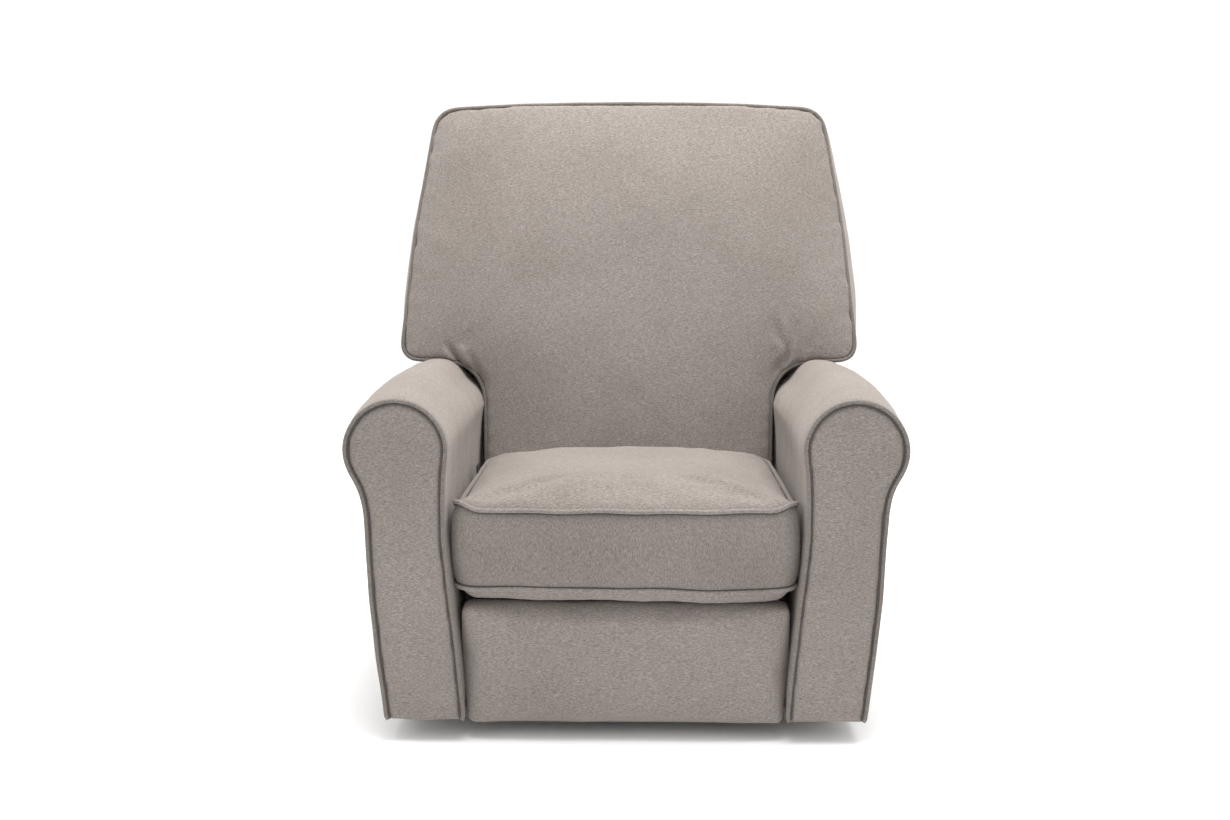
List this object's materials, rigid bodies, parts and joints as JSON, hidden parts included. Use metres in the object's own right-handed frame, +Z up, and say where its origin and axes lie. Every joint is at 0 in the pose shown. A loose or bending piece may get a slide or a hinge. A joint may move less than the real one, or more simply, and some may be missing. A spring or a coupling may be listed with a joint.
{
  "type": "swivel glider recliner chair",
  "caption": "Upholstered swivel glider recliner armchair with a T-shaped welted back, rolled arms, boxed seat cushion, fold-out footrest and a steel ring base.",
  "frame": {"origin": "centre of the ring base on the floor, on the swivel axis, which is also the middle of the chair's footprint", "axes": "+Z up; the sitter faces -Y; +X is the sitter's left"},
  "size_m": [0.886, 0.9204, 1.0553],
  "materials": {
    "upholstery": "heathered woven chenille, soft",
    "black_steel": "satin black powder coat",
    "zinc_steel": "zinc plated",
    "spring_steel": "oiled spring wire",
    "nylon": "natural nylon",
    "black_plastic": "fine textured",
    "rubber": "matt",
    "frame_wood": "sawn hardwood and plywood, unfinished",
    "dust_cloth": "spunbond cloth"
  },
  "bodies": {
    "base": {"ring_base": "black_steel", "base_cross": "black_steel", "floor_pads": "rubber", "kingpin": "zinc_steel", "bearing_lower_race": "zinc_steel", "bearing_balls": "zinc_steel", "base_bolts": "zinc_steel"},
    "swivel": {"bearing_upper_race": "zinc_steel", "swivel_frame": "black_steel", "swivel_uprights": "black_steel", "swivel_bolts": "zinc_steel", "glide_upper_pins": "zinc_steel"},
    "front_swing": {"front_swing_links": "black_steel", "front_swing_bushes": "nylon"},
    "rear_swing": {"rear_swing_links": "black_steel", "rear_swing_bushes": "nylon"},
    "seat_unit": {"glide_lower_pins": "zinc_steel", "glide_plates": "black_steel", "mechanism_plates": "black_steel", "cross_tubes": "black_steel", "side_rails": "frame_wood", "front_rail": "frame_wood", "rear_rail": "frame_wood", "seat_springs": "spring_steel", "spring_clips": "nylon", "deck_cloth": "dust_cloth", "seat_cushion": "upholstery", "left_arm_board": "frame_wood", "right_arm_board": "frame_wood", "left_arm": "upholstery", "right_arm": "upholstery", "left_arm_facing": "upholstery", "right_arm_facing": "upholstery", "arm_bolts": "zinc_steel", "rear_apron": "upholstery", "release_guide": "black_plastic", "recline_pins": "zinc_steel", "footrest_pivot_pins": "zinc_steel"},
    "release": {"release_pull": "black_plastic"},
    "back": {"recline_brackets": "black_steel", "back_stiles": "frame_wood", "back_rails": "frame_wood", "back_wing_frames": "frame_wood", "back_springs": "spring_steel", "back_cushion": "upholstery", "outer_back": "upholstery", "back_bolts": "zinc_steel"},
    "drive_links": {"footrest_drive_links": "black_steel", "footrest_drive_rivets": "zinc_steel"},
    "lift_links": {"footrest_lift_links": "black_steel"},
    "front_links": {"footrest_front_links": "black_steel", "footrest_cross_pins": "zinc_steel", "footrest_stay_rivets": "zinc_steel"},
    "stay_links": {"footrest_stay_links": "black_steel"},
    "footrest": {"footrest_brackets": "black_steel", "footrest_rivets": "zinc_steel", "footrest_board": "frame_wood", "footrest_pad": "upholstery", "footrest_screws": "zinc_steel"}
  },
  "joints": [
    {"name": "swivel_turn", "type": "hinge", "parent": "base", "child": "swivel", "pos_m": [0, 0, 0.03], "axis": [0, 0, 1], "continuous": true},
    {"name": "glide_front", "type": "hinge", "parent": "swivel", "child": "front_swing", "pos_m": [0, -0.14, 0.205], "axis": [1, 0, 0], "range_deg": [-22, 22]},
    {"name": "glide_rear", "type": "hinge", "parent": "swivel", "child": "rear_swing", "pos_m": [0, 0.14, 0.205], "axis": [1, 0, 0], "range_deg": [-22.5, 22.5]},
    {"name": "seat_hang", "type": "hinge", "parent": "front_swing", "child": "seat_unit", "pos_m": [0, -0.14, 0.08], "axis": [1, 0, 0], "range_deg": [-22.5, 22.5]},
    {"name": "recline", "type": "hinge", "parent": "seat_unit", "child": "back", "pos_m": [0, 0.26, 0.26], "axis": [-1, 0, 0], "range_deg": [0, 34]},
    {"name": "footrest_drive", "type": "hinge", "parent": "seat_unit", "child": "drive_links", "pos_m": [0, -0.3149, 0.1815], "axis": [-1, 0, 0], "range_deg": [0, 121.9]},
    {"name": "footrest_front_root", "type": "hinge", "parent": "seat_unit", "child": "front_links", "pos_m": [0, -0.3513, 0.2219], "axis": [-1, 0, 0], "range_deg": [0, 115.74]},
    {"name": "footrest_lift", "type": "hinge", "parent": "drive_links", "child": "lift_links", "pos_m": [0, -0.2382, 0.0826], "axis": [-1, 0, 0], "range_deg": [-132.2, 0]},
    {"name": "footrest_stay", "type": "hinge", "parent": "front_links", "child": "stay_links", "pos_m": [0, -0.2463, 0.0794], "axis": [-1, 0, 0], "range_deg": [-131.65, 0]},
    {"name": "footrest_tilt", "type": "hinge", "parent": "lift_links", "child": "footrest", "pos_m": [0, -0.3798, 0.2308], "axis": [-1, 0, 0], "range_deg": [0, 97.01]},
    {"name": "release_lift", "type": "slide", "parent": "seat_unit", "child": "release", "axis": [0, 0, 1], "range_m": [0, 0.015], "stiffness_N_per_m": 300}
  ],
  "couplings": [
    {"joint": "glide_rear", "follows": "glide_front", "ratio": 1},
    {"joint": "seat_hang", "follows": "glide_front", "ratio": -1},
    {"joint": "footrest_front_root", "follows": "footrest_drive", "ratio": 0.947},
    {"joint": "footrest_lift", "follows": "footrest_drive", "ratio": -1.082},
    {"joint": "footrest_stay", "follows": "footrest_drive", "ratio": -1.0775},
    {"joint": "footrest_tilt", "follows": "footrest_drive", "ratio": 0.79336}
  ]
}
